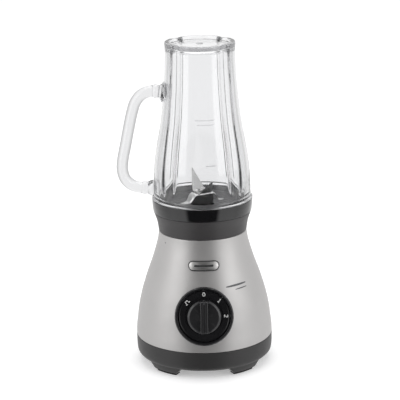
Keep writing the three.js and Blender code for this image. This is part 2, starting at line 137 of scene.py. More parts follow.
def plastic(name, base, rough, fine=(2600, 0.12, 0.00004), vary=0.08, edge_wear_and_highlight=0.0, coat=0.0, coat_rough=0.05, metallic=0.0, spec=0.5,
            rough_vary=0.05, smudge=28):
    """Moulded or painted plastic: fine surface grain, patchy roughness, slight colour variation and lighter edges,
    which are partly wear and partly a painted highlight.
    """
    m = Nodes(name)
    blotch = m.noise(smudge, 4, 0.6)
    grain = m.noise(fine[0], 2, 0.5)
    col = m.mix(m.range(blotch, 0, 1), shade(base, 1 - vary), shade(base, 1 + vary))
    if edge_wear_and_highlight:
        # Convex edges, found by pointiness, are lightened: partly edge wear, partly a painted highlight for light
        # caught along the edges.
        geo = m.new("ShaderNodeNewGeometry")
        edge = m.range(geo.outputs["Pointiness"], 0, edge_wear_and_highlight, 0.52, 0.60)
        col = m.mix(edge, col, tuple(min(1.0, x * 2.2 + 0.05) for x in base))
    m.link(col, m.bsdf.inputs["Base Color"])
    m.link(m.range(m.noise(smudge * 2.3, 5, 0.65), rough - rough_vary, rough + rough_vary), m.bsdf.inputs["Roughness"])
    m.bump([(grain, fine[1], fine[2]), (m.noise(smudge * 4, 2), 0.05, 0.0001)])
    m.set(Metallic=metallic, Coat_Weight=coat, Coat_Roughness=coat_rough, Specular_IOR_Level=spec)
    return m.mat


def metal(name, base, rough, brush=None, brush_strength=0.15, vary=0.06, scratch=True):
    """Bare metal: a brushed or cast grain, patches of duller metal, and fine scratches."""
    m = Nodes(name)
    patch = m.noise(60, 4)
    grain = m.noise(1400, 3, 0.6, stretch=brush)
    col = m.mix(m.range(patch, 0, 1), shade(base, 1 - vary), shade(base, 1 + vary))
    col = m.mix(m.range(grain, 0, 0.35), col, shade(base, 0.7))
    m.link(col, m.bsdf.inputs["Base Color"])
    m.link(m.range(grain, rough * 0.75, rough * 1.3), m.bsdf.inputs["Roughness"])
    parts = [(grain, brush_strength, 0.00004)]
    if scratch:
        parts.append((m.range(m.noise(300, 2, 0.5, stretch=(0.15, 3, 1)), 0, 1, 0.62, 0.66), 0.08, 0.00003))
    m.bump(parts)
    m.set(Metallic=1.0)
    return m.mat


def striped(name, base, rough, per_metre, metallic, axis="Z", depth=0.0001, strength=0.6):
    """Windings and laminations: close parallel lines across the piece."""
    m = Nodes(name)
    w = m.new("ShaderNodeTexWave", Scale=per_metre / 6.2832 * 1.0, Distortion=0.4, Detail=1.0)
    w.bands_direction = axis
    m.link(m.coord, w.inputs["Vector"])
    col = m.mix(w.outputs["Fac"], shade(base, 0.55), shade(base, 1.1))
    m.link(m.mix(m.range(m.noise(90), 0, 0.5), col, shade(base, 0.6)), m.bsdf.inputs["Base Color"])
    m.link(m.range(m.noise(200), rough - 0.08, rough + 0.1), m.bsdf.inputs["Roughness"])
    m.bump([(w.outputs["Fac"], strength, depth)])
    m.set(Metallic=metallic)
    return m.mat


def clear(name, tint, rough=0.0, ior=1.49):
    """Clear moulded plastic, with the faint ripple that moulding leaves."""
    m = Nodes(name)
    m.bump([(m.noise(26, 2), 0.035, 0.0015), (m.noise(90, 2), 0.02, 0.0004)])
    m.set(Base_Color=(*tint, 1), Roughness=rough, IOR=ior, Transmission_Weight=1.0)
    v = m.new("ShaderNodeVolumeAbsorption", Color=(0.70, 0.70, 0.71, 1), Density=38.0)
    out = next(n for n in m.tree.nodes if n.type == "OUTPUT_MATERIAL")
    m.link(v.outputs[0], out.inputs["Volume"])
    return m.mat


SILVER = plastic("housing_silver", (0.47, 0.461, 0.457), 0.47, fine=(5200, 0.22, 0.00005), vary=0.03, metallic=0.75, coat=0.12, coat_rough=0.25, rough_vary=0.035, smudge=16)
CHARCOAL = plastic("charcoal_plastic", (0.033, 0.031, 0.032), 0.42, fine=(3000, 0.45, 0.00007), vary=0.06, edge_wear_and_highlight=0.25, spec=0.45)
# The skirt is the same charcoal plastic as the collar, made darker: the extra darkness is painted shade on the low
# skirt.
SKIRT_SHADED_CHARCOAL = plastic("skirt_charcoal_painted_shade", (0.024, 0.0233, 0.0237), 0.44, fine=(3000, 0.45, 0.00007), vary=0.06, edge_wear_and_highlight=0.2, spec=0.4)
# The bowl inside the carrier gets a mid-grey copy of the carrier's gloss black: the grey is painted reflection,
# standing in for reflections in the bowl.
WELL_PAINTED_REFLECTION = plastic("well_grey_painted_reflection", (0.21, 0.21, 0.215), 0.30, fine=(2200, 0.2, 0.00005), vary=0.08, rough_vary=0.05)
GLOSS = plastic("carrier_gloss", (0.0045, 0.0045, 0.005), 0.07, fine=(900, 0.03, 0.00004), vary=0.1, rough_vary=0.03, coat=0.4, coat_rough=0.03)
PILLAR = plastic("pillar_black", (0.0015, 0.0015, 0.002), 0.2, fine=(900, 0.05, 0.00004), vary=0.1, spec=0.12)
DIAL_GLOSS = plastic("dial_gloss", (0.010, 0.010, 0.011), 0.13, fine=(1200, 0.05, 0.00004), vary=0.1, rough_vary=0.04, coat=0.2, coat_rough=0.05)
# The knob's lightened edges stand in for the highlights along its grip bar: painted highlight.
KNOB_GLOSS = plastic("knob_gloss", (0.016, 0.016, 0.017), 0.17, fine=(1800, 0.08, 0.00004), vary=0.08, edge_wear_and_highlight=0.12, rough_vary=0.05)
RUBBER = plastic("foot_rubber", (0.014, 0.014, 0.014), 0.75, fine=(1600, 0.5, 0.0001), vary=0.25, spec=0.3)
BLACK_MATT = plastic("bottom_plastic", (0.030, 0.030, 0.031), 0.5, fine=(1400, 0.4, 0.0001), vary=0.12, edge_wear_and_highlight=0.2)
PRINT = plastic("print_white", (0.72, 0.72, 0.71), 0.5, fine=(3000, 0.2, 0.00003), vary=0.05)
PRINT_GREY = plastic("print_grey", (0.07, 0.07, 0.075), 0.45, fine=(3000, 0.2, 0.00003), vary=0.05)
BADGE = metal("badge_metal", (0.66, 0.65, 0.64), 0.42, brush=(0.03, 1, 1), brush_strength=0.25)
BADGE_EDGE = plastic("badge_edge", (0.035, 0.035, 0.036), 0.3, fine=(1500, 0.1, 0.00004))
STEEL = metal("blade_steel", (0.82, 0.82, 0.81), 0.33, brush=(1, 0.06, 0.4), brush_strength=0.22)
SHAFT = metal("shaft_steel", (0.58, 0.58, 0.57), 0.24, brush=(1, 1, 0.05))
SCREW = metal("screw_steel", (0.55, 0.55, 0.56), 0.32)
ZINC = metal("bracket_zinc", (0.46, 0.47, 0.48), 0.45, brush_strength=0.5)
BRONZE = metal("bearing_bronze", (0.45, 0.27, 0.11), 0.42, brush_strength=0.4)
COPPER = striped("copper_wire", (0.55, 0.22, 0.09), 0.35, 5200, 1.0)
LAMINATION = striped("lamination_steel", (0.17, 0.175, 0.185), 0.5, 5800, 0.9)
CARBON = plastic("brush_carbon", (0.022, 0.022, 0.024), 0.6, fine=(2500, 0.5, 0.00006))
PHENOLIC = plastic("switch_bakelite", (0.02, 0.02, 0.02), 0.45, fine=(900, 0.25, 0.00008))
NYLON = plastic("coupler_plastic", (0.022, 0.022, 0.022), 0.38, fine=(1500, 0.3, 0.00006), edge_wear_and_highlight=0.3)
BOARD = plastic("board_green", (0.03, 0.12, 0.05), 0.3, fine=(700, 0.25, 0.00006), vary=0.2)
SILICONE = plastic("seal_silicone", (0.50, 0.50, 0.48), 0.5, fine=(700, 0.2, 0.00006), vary=0.06)
CLEAR = clear("mug_clear", (0.965, 0.967, 0.972))
ETCHED = clear("mug_etched", (0.90, 0.90, 0.91), rough=0.35)

SLOT_MATERIAL = {
    "housing_silver": SILVER, "charcoal_plastic": CHARCOAL, "foot_rubber": RUBBER, "bottom_plastic": BLACK_MATT, "screw_steel": SCREW,
    "inlet_rubber": RUBBER, "badge_metal": BADGE, "dial_gloss": DIAL_GLOSS, "switch_bakelite": PHENOLIC, "shaft_steel": SHAFT,
    "knob_gloss": KNOB_GLOSS, "bracket_zinc": ZINC, "lamination_steel": LAMINATION, "copper_wire": COPPER, "bearing_bronze": BRONZE,
    "brush_carbon": CARBON, "coupler_plastic": NYLON, "board_green": BOARD, "carrier_gloss": GLOSS, "seal_silicone": SILICONE,
    "blade_steel": STEEL, "mug_clear": CLEAR,
}
for part in frame["record"]["subparts"]:
    ob = bpy.data.objects.get(part["node"])
    if ob and ob.type == "MESH":
        for s in ob.material_slots:
            s.material = SLOT_MATERIAL[part["material_slot"]]


# ---------------------------------------------------------------- mesh helpers (all sizes below are millimetres)
def build(name, verts, faces, mat, matrix=None, smooth=32):
    me = bpy.data.meshes.new(name)
    me.from_pydata([tuple(c * MM for c in v) for v in verts], [], faces)
    if matrix is not None:
        m = matrix.copy()
        m.translation = m.translation * MM
        me.transform(m)
    bm = bmesh.new()
    bm.from_mesh(me)
    bmesh.ops.remove_doubles(bm, verts=bm.verts, dist=1e-7)
    bmesh.ops.dissolve_degenerate(bm, edges=bm.edges, dist=1e-8)
    bmesh.ops.recalc_face_normals(bm, faces=bm.faces)
    bm.to_mesh(me)
    bm.free()
    me.update()
    if not me.materials:
        me.materials.append(mat)
    me.shade_smooth()
    me.set_sharp_from_angle(angle=math.radians(smooth))
    ob = bpy.data.objects.new(name, me)
    SCENE.collection.objects.link(ob)
    return ob


def fillet(pts, closed, n=4):
    """Rounds the corners of [(r, z, radius)...]; the radius is optional."""
    out, m = [], len(pts)
    for i, p in enumerate(pts):
        r = p[2] if len(p) > 2 else 0
        P = Vector(p[:2])
        if r <= 0 or (not closed and i in (0, m - 1)):
            out.append(tuple(P))
            continue
        u, w = Vector(pts[i - 1][:2]) - P, Vector(pts[(i + 1) % m][:2]) - P
        lu, lw = u.length, w.length
        u.normalize(), w.normalize()
        ang = math.acos(max(-1, min(1, u.dot(w))))
        if ang > math.radians(177):
            out.append(tuple(P))
            continue
        t = min(r / math.tan(ang / 2), lu * 0.48, lw * 0.48)
        A, B = P + u * t, P + w * t
        for k in range(n + 1):
            s = k / n
            out.append(tuple(A * (1 - s) ** 2 + P * (2 * s * (1 - s)) + B * s * s))
    return out


def curve(pts, n=6):
    """A smooth open curve through the points (Catmull-Rom)."""
    P = [Vector(p) for p in pts]
    P = [P[0] * 2 - P[1]] + P + [P[-1] * 2 - P[-2]]
    out = []
    for i in range(1, len(P) - 2):
        a, b, c, d = P[i - 1:i + 3]
        for k in range(n):
            t = k / n
            out.append(tuple(0.5 * ((2 * b) + (c - a) * t + (2 * a - 5 * b + 4 * c - d) * t * t + (3 * b - a - 3 * c + d) * t ** 3)))
    out.append(tuple(P[-2]))
    return out


def lathe(name, profile, mat, seg=144, closed=True, matrix=None, smooth=32, shape=None):
    """Turns [(r, z)...] about +Z. An open profile starts and ends on the axis."""
    verts, faces, rings = [], [], []
    for r, z in profile:
        if r < 1e-6:
            rings.append([len(verts)])
            verts.append((0, 0, z))
        else:
            rings.append(list(range(len(verts), len(verts) + seg)))
            for k in range(seg):
                a = 2 * math.pi * k / seg
                rr = r + (shape(a, r, z) if shape else 0)
                verts.append((rr * math.cos(a), rr * math.sin(a), z))
    pairs = list(zip(rings, rings[1:])) + ([(rings[-1], rings[0])] if closed else [])
    for a, b in pairs:
        for k in range(seg):
            l = (k + 1) % seg
            if len(a) == 1 and len(b) == 1:
                continue
            if len(a) == 1:
                faces.append((a[0], b[l], b[k]))
            elif len(b) == 1:
                faces.append((a[k], a[l], b[0]))
            else:
                faces.append((a[k], a[l], b[l], b[k]))
    return build(name, verts, faces, mat, matrix, smooth)


def rings(name, loops, mat, caps=True, matrix=None, smooth=32):
    """Joins loops of equally many points, and closes both ends."""
    verts, faces, n = [], [], len(loops[0])
    for lp in loops:
        verts.extend(lp)
    for i in range(len(loops) - 1):
        for k in range(n):
            l = (k + 1) % n
            faces.append((i * n + k, i * n + l, (i + 1) * n + l, (i + 1) * n + k))
    if caps:
        faces.append(tuple(range(n)))
        faces.append(tuple(range((len(loops) - 1) * n, len(loops) * n)))
    return build(name, verts, faces, mat, matrix, smooth)


def apply_modifiers(ob):
    dep = bpy.context.evaluated_depsgraph_get()
    me = bpy.data.meshes.new_from_object(ob.evaluated_get(dep))
    old = ob.data
    ob.modifiers.clear()
    ob.data = me
    bpy.data.meshes.remove(old)
    return ob


def boolean(ob, tools, op="DIFFERENCE", smooth=32):
    for t in tools:
        md = ob.modifiers.new("b", "BOOLEAN")
        md.object, md.operation, md.solver = t, op, "EXACT"
    apply_modifiers(ob)
    for t in tools:
        me = t.data
        bpy.data.objects.remove(t)
        bpy.data.meshes.remove(me)
    while len(ob.data.materials) > 1:
        ob.data.materials.pop()
    for p in ob.data.polygons:
        p.material_index = 0
    ob.data.shade_smooth()
    ob.data.set_sharp_from_angle(angle=math.radians(smooth))
    return ob


def bevel(ob, width, segments=3, angle=32, smooth=32):
    md = ob.modifiers.new("v", "BEVEL")
    md.width, md.segments, md.limit_method, md.angle_limit = width * MM, segments, "ANGLE", math.radians(angle)
    md.harden_normals = False
    apply_modifiers(ob)
    ob.data.shade_smooth()
    ob.data.set_sharp_from_angle(angle=math.radians(smooth))
    return ob


def join(name, obs):
    """Joins pieces into the first."""
    bm = bmesh.new()
    mats = []
    for o in obs:
        me = o.data
        at = []
        for mt in me.materials:
            if mt not in mats:
                mats.append(mt)
            at.append(mats.index(mt))
        tmp = me.copy()
        for p in tmp.polygons:
            p.material_index = at[p.material_index] if at else 0
        bm.from_mesh(tmp)
        bpy.data.meshes.remove(tmp)
    me = bpy.data.meshes.new(name)
    bm.to_mesh(me)
    bm.free()
    for mt in mats:
        me.materials.append(mt)
    for o in obs:
        d = o.data
        bpy.data.objects.remove(o)
        bpy.data.meshes.remove(d)
    ob = bpy.data.objects.new(name, me)
    SCENE.collection.objects.link(ob)
    return ob


def place(ob, body, slot, *nodes):
    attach(ob, body)
    if nodes:
        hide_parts(*nodes)
    return ob


def polar(r, a):
    """A point at a degrees from the front (-Y), positive towards +X."""
    a = math.radians(a)
    return r * math.sin(a), -r * math.cos(a)


def rounded_outline(pts, radius, n=5):
    return fillet([(x, y, radius) for x, y in pts], True, n)


TILT = math.radians(90 - 11.85)
DIAL = Matrix.Translation((0, -62.45, 64.35)) @ Matrix.Rotation(TILT, 4, "X")

# ---------------------------------------------------------------- base: housing, collar, skirt, feet
HOUSING = [(69.0, 28.3), (68.85, 35), (68.0, 42.5), (66.0, 57.5), (62.7, 72.5), (59.75, 82.5), (56.5, 92.5), (51.1, 107.5), (46.6, 122.5), (44.9, 130), (44.05, 136.3)]


def housing_r(z):
    c = HOUSING_CURVE
    for (r0, z0), (r1, z1) in zip(c, c[1:]):
        if z <= z1:
            return r0 + (r1 - r0) * (z - z0) / (z1 - z0)
    return c[-1][0]


HOUSING_CURVE = curve(HOUSING, 6)
outer = HOUSING_CURVE
inner = [(r - 2.8, z) for r, z in reversed(outer)]
shell = fillet([(outer[0][0] - 1.2, outer[0][1], 0.2), (outer[0][0], outer[0][1] + 0.0, 0.5)], False)
prof = [(66.4, 28.3), (68.5, 28.3), (68.85, 28.45), (68.98, 28.8)] + outer[1:-1] + [(44.1, 135.9), (43.95, 136.25), (43.6, 136.4), (41.3, 136.4), (41.3, 133)] + [p for p in inner if p[1] < 131 and p[1] > 29]
housing = lathe("housing_shell", prof, SILVER, seg=192, smooth=40)
hole = lathe("t", [(0, -20), (28.3, -20), (28.3, 15), (0, 15)], SILVER, seg=96, closed=False, matrix=DIAL)
boolean(housing, [hole], smooth=40)
place(housing, "base", "housing_silver", "base_housing")

collar_outer = curve([(44.25, 137.3), (44.75, 141.0), (45.8, 146.8), (47.3, 151.6), (48.75, 155.5)], 6)
prof = fillet([(40.9, 133.6, 0.4), (40.9, 136.7, 0.1), (43.6, 136.7, 0.3)], False)[0:] + [(43.95, 136.85)] + collar_outer + [(48.8, 155.95), (48.6, 156.2), (48.2, 156.25), (39.9, 156.25), (39.5, 156.05), (39.4, 155.6), (39.4, 136.9), (38.9, 136.4), (12, 136.4), (12, 139.2), (11.7, 139.4), (8.2, 139.4), (8.0, 139.2), (8.0, 133.6)]
collar = lathe("neck_socket", prof, CHARCOAL, seg=168)
cuts = []
for i in range(4):
    cut = rings("t", [[(36, -4.6, 139.8), (41.9, -4.6, 139.8), (41.9, 4.6, 139.8), (36, 4.6, 139.8)], [(36, -4.6, 161), (41.9, -4.6, 161), (41.9, 4.6, 161), (36, 4.6, 161)]], CHARCOAL,
                matrix=Matrix.Rotation(math.pi / 4 + i * math.pi / 2, 4, "Z"))
    cuts.append(cut)
boolean(collar, cuts)
place(collar, "base", "charcoal_plastic", "neck_collar")

skirt_outer = curve([(66.6, 9.2), (67.7, 10.6), (68.45, 13.0), (68.9, 18), (69.0, 23), (69.0, 27.3)], 5)
prof = [(50.0, 8.0), (64.0, 8.0), (65.2, 8.15), (66.0, 8.6)] + skirt_outer + [(68.9, 27.75), (68.6, 28.0), (66.3, 28.0), (66.1, 17.5), (64.6, 11.6), (62.6, 10.6), (50.0, 10.6)]
skirt = lathe("skirt_ring", prof, SKIRT_SHADED_CHARCOAL, seg=192)


def sector(r0, r1, a0, a1, radius, n=10):
    """Outline of a rounded annular sector, as x, y points."""
    flat = [(r1, a0 + (a1 - a0) * i / n) for i in range(n + 1)] + [(r0, a1 + (a0 - a1) * i / n) for i in range(n + 1)]
    pts = [polar(*p) for p in flat]
    m = len(pts)
    corner = {0, n, n + 1, m - 1}
    return fillet([(x, y, radius if i in corner else 0) for i, (x, y) in enumerate(pts)], True, 4)


bosses, corners = [], [(1, 1, "front_right"), (-1, 1, "front_left"), (1, -1, "rear_right"), (-1, -1, "rear_left")]
for sx, sy, label in corners:
    def m2(pts, z):
        return [(x * sx, y * sy, z) for x, y in pts]
    loops = [m2(sector(53.3, 63.7, 27.0, 51.0, 1.6), 2.5), m2(sector(52.8, 64.3, 26.3, 51.7, 1.6), 2.75), m2(sector(52.5, 64.7, 25.7, 52.3, 1.6), 3.4),
             m2(sector(51.5, 66.0, 21.8, 55.9, 1.6), 8.1), m2(sector(51.5, 66.3, 21.0, 56.8, 1.6), 9.3)]
    bosses.append(rings("t", loops, SKIRT_SHADED_CHARCOAL))
boolean(skirt, bosses, "UNION")
inlet = lathe("t", [(0, -10), (5.4, -10), (5.4, 10), (0, 10)], CHARCOAL, seg=48, closed=False, matrix=Matrix.Translation((0, 68, 19)) @ Matrix.Rotation(-math.pi / 2, 4, "X"))
boolean(skirt, [inlet])
place(skirt, "base", "charcoal_plastic", "base_skirt")

for sx, sy, label in corners:
    def m3(pts, z):
        return [(x * sx, y * sy, z) for x, y in pts]
    loops = [m3(sector(54.6, 61.8, 28.2, 49.8, 1.2), 0.0), m3(sector(54.1, 62.3, 27.6, 50.4, 1.3), 0.25), m3(sector(54.0, 62.4, 27.5, 50.5, 1.3), 0.6), m3(sector(54.0, 62.4, 27.5, 50.5, 1.3), 2.45)]
    place(rings("foot_" + label, loops, RUBBER), "base", "foot_rubber", "foot_pad_" + label)

# ---------------------------------------------------------------- dial
bz = fillet([(22.5, -10, 0), (28.9, -10, 0), (29.1, -2, 0), (29.1, 0.7, 0.9), (28.0, 2.0, 0.9), (26.5, 2.0, 0.9), (25.7, 0.4, 0.5), (25.5, -3.9, 0.2), (22.5, -3.9, 0)], True, 5)
place(lathe("dial_ring", bz, DIAL_GLOSS, seg=160, matrix=DIAL), "base", "dial_gloss", "dial_bezel")
dp = fillet([(4.9, -3.6, 0), (25.3, -3.6, 0), (25.3, -0.6, 0.5), (23.9, -1.2, 0.8), (18.4, -1.3, 0.6), (17.6, -2.0, 0.4), (4.9, -2.0, 0)], True, 4)
place(lathe("dial_face", dp, DIAL_GLOSS, seg=160, matrix=DIAL), "base", "dial_gloss", "dial_plate")


def stroke(paths, width, z0, z1):
    """Thin raised strokes along polylines, each closed flat at its open ends; returns verts and faces."""
    verts, faces = [], []
    for path in paths:
        closed = path[0] == path[-1]
        P = [Vector(p) for p in (path[:-1] if closed else path)]
        n = len(P)
        left, right = [], []
        for i in range(n):
            a = P[(i - 1) % n] if closed or i else P[i]
            b = P[(i + 1) % n] if closed or i < n - 1 else P[i]
            d0 = (P[i] - a).normalized() if (P[i] - a).length else (b - P[i]).normalized()
            d1 = (b - P[i]).normalized() if (b - P[i]).length else d0
            nrm = Vector((-(d0.y + d1.y), d0.x + d1.x)).normalized()
            k = width / 2 / max(0.5, nrm.dot(Vector((-d1.y, d1.x))))
            left.append(P[i] + nrm * k)
            right.append(P[i] - nrm * k)
        base = len(verts)
        for l, r in zip(left, right):
            verts += [(l.x, l.y, z0), (r.x, r.y, z0), (r.x, r.y, z1), (l.x, l.y, z1)]
        for i in range(n if closed else n - 1):
            a, b = base + 4 * i, base + 4 * ((i + 1) % n)
            for q in range(4):
                faces.append((a + q, a + (q + 1) % 4, b + (q + 1) % 4, b + q))
        if not closed:
            faces.append((base, base + 3, base + 2, base + 1))
            e = base + 4 * (n - 1)
            faces.append((e, e + 1, e + 2, e + 3))
    return verts, faces


def glyph(kind):
    if kind == "0":
        return [[(1.05 * math.cos(t), 1.55 * math.sin(t)) for t in [2 * math.pi * k / 20 for k in range(20)]] + [(1.05, 0.0)]]
    if kind == "1":
        return [[(-0.7, 0.85), (0.05, 1.6), (0.05, -1.6)], [(-0.75, -1.6), (0.85, -1.6)]]
    if kind == "2":
        return [[(-1.0, 0.85), (-0.75, 1.35), (-0.2, 1.6), (0.35, 1.55), (0.85, 1.2), (0.95, 0.65), (0.65, 0.1), (-1.05, -1.55), (1.1, -1.55)]]
    return [[(-2.6, -1.2), (-1.25, -1.2), (-1.25, 1.3), (1.25, 1.3), (1.25, -1.2), (2.6, -1.2)]]


legends = []
for kind, ang in (("pulse", -50), ("0", 0), ("1", 45), ("2", 90)):
    v, f = stroke(glyph(kind), 0.55, -1.3, -1.08)
    M = DIAL @ Matrix.Rotation(math.radians(-ang), 4, "Z") @ Matrix.Translation((0, 21.6, 0)) @ Matrix.Diagonal((1.12, 1.12, 1, 1))
    legends.append(build("t", v, f, PRINT, matrix=M))
place(join("dial_marks", legends), "base", "dial_gloss")

# Knob: a low disc with a tapered grip bar and a pointer groove.
KR = 16.9
prof = fillet([(3.3, 7.6, 0), (3.3, 3.4, 0), (9.2, 3.4, 0), (9.2, 1.0, 0), (KR - 0.6, 1.0, 0.4), (KR, 1.8, 0.5), (KR - 0.35, 7.2, 1.5), (KR - 2.6, 8.5, 1.2), (9, 8.15, 1.0), (3.3, 8.1, 0)], True, 6)
disc = lathe("t", prof, KNOB_GLOSS, seg=144)
cap = lathe("t", [(0, 7.4), (5, 7.4), (5, 8.6), (0, 8.6)], KNOB_GLOSS, seg=48, closed=False)


def bar_loop(y, half, top, foot):
    """Cross-section of the grip at y: a rounded trapezium with the pointer groove in its top."""
    pts = [(-half - 1.1, foot, 0), (-half - 0.35, foot + 1.0, 0.8), (-half + 0.5, top, 0.9), (-1.15, top, 0.25), (-0.75, top - 0.9, 0.25), (0.75, top - 0.9, 0.25), (1.15, top, 0.25),
           (half - 0.5, top, 0.9), (half + 0.35, foot + 1.0, 0.8), (half + 1.1, foot, 0)]
    return [(x, y, z) for x, z in fillet(pts, True, 4)]


L = KR - 0.5
loops = []
for y, top in [(-L, 9.6), (-L + 0.25, 11.0), (-L + 0.8, 12.2), (-L + 1.8, 13.0), (-L + 3.2, 13.35), (-4, 13.4), (4, 13.4), (L - 3.2, 13.35), (L - 1.8, 13.0), (L - 0.8, 12.2), (L - 0.25, 11.0), (L, 9.6)]:
    loops.append(bar_loop(y, 3.9 + 0.2 * (abs(y) / L), top, 7.3))
bar = rings("t", loops, KNOB_GLOSS)
trim = lathe("t", fillet([(0, 4, 0), (KR - 0.15, 4, 0), (KR - 0.35, 9, 0), (KR - 0.8, 20, 0), (0, 20, 0)], False), KNOB_GLOSS, seg=144, closed=False)
boolean(bar, [trim], "INTERSECT")
knob = boolean(disc, [bar, cap], "UNION")
bpy.context.view_layer.update()
v, f = stroke([[(0, L - 3.4), (0, L - 1.9)]], 0.8, 12.35, 12.62)
line = build("t", v, f, PRINT_GREY)
knob = join("turn_knob", [knob, line])
m = DIAL.copy()
m.translation = m.translation * MM
knob.data.transform(m)
place(knob, "knob", "knob_gloss", "control_knob")

# ---------------------------------------------------------------- badge and marks on the housing


def on_cone(u, z, w):
    """u: distance around from x = 0 at the front; w: height off the housing."""
    z1, z0 = z + 0.5, z - 0.5
    slope = (housing_r(z1) - housing_r(z0))
    n = Vector((1.0, -slope)).normalized()
    r = housing_r(z)
    a = u / r
    rr, zz = r + w * n.x, z + w * n.y
    return (rr * math.sin(a), -rr * math.cos(a), zz)


def pill(hw, hh, n=12):
    """Points of a stadium outline of half width hw and half height hh, centred on 0."""
    out = []
    for k in range(n + 1):
        t = math.pi / 2 - math.pi * k / n
        out.append((hw - hh + hh * math.cos(t), hh * math.sin(t)))
    out += [(hw - hh - (2 * (hw - hh)) * k / 14, -hh) for k in range(1, 14)]
    for k in range(n + 1):
        t = -math.pi / 2 - math.pi * k / n
        out.append((-(hw - hh) + hh * math.cos(t), hh * math.sin(t)))
    out += [(-(hw - hh) + (2 * (hw - hh)) * k / 14, hh) for k in range(1, 14)]
    return out


BZ = 112.2
def badge_loop(hw, hh, w):
    return [on_cone(u + 0.4, BZ + v, w) for u, v in pill(hw, hh)]


rim = rings("t", [badge_loop(15.5, 4.9, 0.1), badge_loop(15.5, 4.9, 0.75), badge_loop(15.25, 4.65, 0.95), badge_loop(14.8, 4.2, 0.95), badge_loop(14.6, 4.0, 0.75), badge_loop(14.55, 3.95, 0.5), badge_loop(14.5, 3.9, 0.12)], BADGE_EDGE)
field_ = rings("t", [badge_loop(14.5, 3.9, 0.12), badge_loop(14.5, 3.9, 0.62), badge_loop(14.3, 3.7, 0.68), badge_loop(10, 1.2, 0.70), badge_loop(8.9, 0.08, 0.70)], BADGE)
bars = []
for hw, dz in ((9.5, 0.0),):
    def lp(a, b, w):
        return [on_cone(u + 0.4, BZ + dz + v, w) for u, v in pill(a, b)]
    bars.append(rings("t", [lp(hw, 1.0, 0.6), lp(hw, 1.0, 0.8), lp(hw - 0.15, 0.85, 0.86), lp(hw - 0.95, 0.05, 0.86)], BADGE_EDGE))
place(join("plain_badge", [rim, field_] + bars), "base", "badge_metal", "badge_plate")

# A plain printed mark to the right of the badge: one long rule and a short one under it; and a moulded dot on the left shoulder.
def printed(u0, z0, u1, z1, w, h=0.09):
    """A thin raised strip that follows the housing, tapered at both ends."""
    n, verts, faces = 36, [], []
    for k in range(n + 1):
        t = k / n
        u, z = u0 + (u1 - u0) * t, z0 + (z1 - z0) * t
        half = w * (0.3 + 0.7 * math.sin(math.pi * t) ** 0.5) / 2
        verts += [on_cone(u, z - half, 0.0), on_cone(u, z - half, h), on_cone(u, z, h), on_cone(u, z + half, h), on_cone(u, z + half, 0.0)]
    for k in range(n):
        i, j = 5 * k, 5 * k + 5
        faces += [(i + m, j + m, j + m + 1, i + m + 1) for m in range(4)] + [(i + 4, j + 4, j, i)]
    faces += [(4, 3, 2, 1, 0), (5 * n, 5 * n + 1, 5 * n + 2, 5 * n + 3, 5 * n + 4)]
    return build("t", verts, faces, PRINT_GREY)


place(join("plain_mark", [printed(22.5, 91.0, 46.5, 91.8, 1.9), printed(33.0, 87.4, 47.5, 88.0, 1.1), printed(-44.6, 129.2, -43.4, 129.3, 1.1)]), "base", "housing_silver")

# ---------------------------------------------------------------- blade carrier
cr = fillet([
    (9.0, 157.6, 0), (13, 157.6, 0), (21, 157.7, 0.5), (21.8, 158.4, 0.4), (22.8, 158.4, 0.4), (23.6, 157.8, 0.5), (26, 157.9, 0.5), (26.8, 158.7, 0.4), (27.8, 158.7, 0.4), (28.6, 158.1, 0.5), (31, 158.3, 0.5), (31.8, 159.2, 0.4), (32.8, 159.2, 0.4),
    (33.6, 158.7, 0.5), (35.4, 159.2, 0.5), (36.3, 160.4, 0.4), (37.2, 160.6, 0.4), (38.2, 161.5, 0.5), (39.0, 163.2, 0.4), (39.8, 164.1, 0.4), (41.2, 164.2, 0.3), (41.5, 163.8, 0.3), (41.6, 158.8, 0), (46.9, 158.8, 0),
    (46.9, 169.0, 0.2), (47.2, 169.25, 0.2), (50.0, 169.25, 0.3), (50.35, 168.9, 0.3), (50.2, 164.0, 8), (49.75, 159.8, 2), (49.35, 157.0, 0.4), (49.0, 156.6, 0.3), (38.7, 156.6, 0.3),
    (38.7, 142.6, 0.4), (38.1, 142.0, 0.4), (36.8, 142.0, 0.4), (36.2, 142.6, 0.4), (36.2, 154.0, 1.0), (9.0, 154.0, 0)], True, 4)
carrier = lathe("blade_well", cr, GLOSS, seg=168)
lugs = []
for i in range(4):
    lug = rings("t", [[(37.4, -3.8, z), (41.2, -3.8, z), (41.2, 3.8, z), (37.4, 3.8, z)] for z in (142.4, 153.0)], GLOSS, matrix=Matrix.Rotation(math.pi / 4 + i * math.pi / 2, 4, "Z"))
    bevel(lug, 0.5)
    lugs.append(lug)
boolean(carrier, lugs, "UNION")
carrier.data.materials.append(WELL_PAINTED_REFLECTION)
# Bowl faces inside the carrier take the grey painted-reflection material.
for f in carrier.data.polygons:
    x, y, z = f.center / MM
    if z > 157 and math.hypot(x, y) < 47.0:
        f.material_index = 1
place(carrier, "carrier", "carrier_gloss", "blade_carrier")

pillar_prof = fillet([(4.6, 149.5, 0), (8.7, 149.5, 0.4), (8.7, 157.9, 0), (12.2, 157.9, 0.2), (12.4, 159.4, 0.4), (11.3, 160.4, 0.5), (11.0, 170.6, 0.6), (10.2, 171.8, 0.6), (7.0, 171.8, 0.3), (6.6, 171.2, 0.2), (4.6, 171.2, 0)], True, 4)


def pillar_flats(a, r, z):
    # three soft flats around the post
    if r < 9.5 or z < 160.4:
        return 0
    return -0.5 * max(0.0, math.cos(4 * (a - math.pi / 4))) ** 2


place(lathe("bearing_post", pillar_prof, PILLAR, seg=96, shape=pillar_flats), "carrier", "carrier_gloss", "bearing_pillar")

# ---------------------------------------------------------------- blades
AZ = math.radians(27.3)


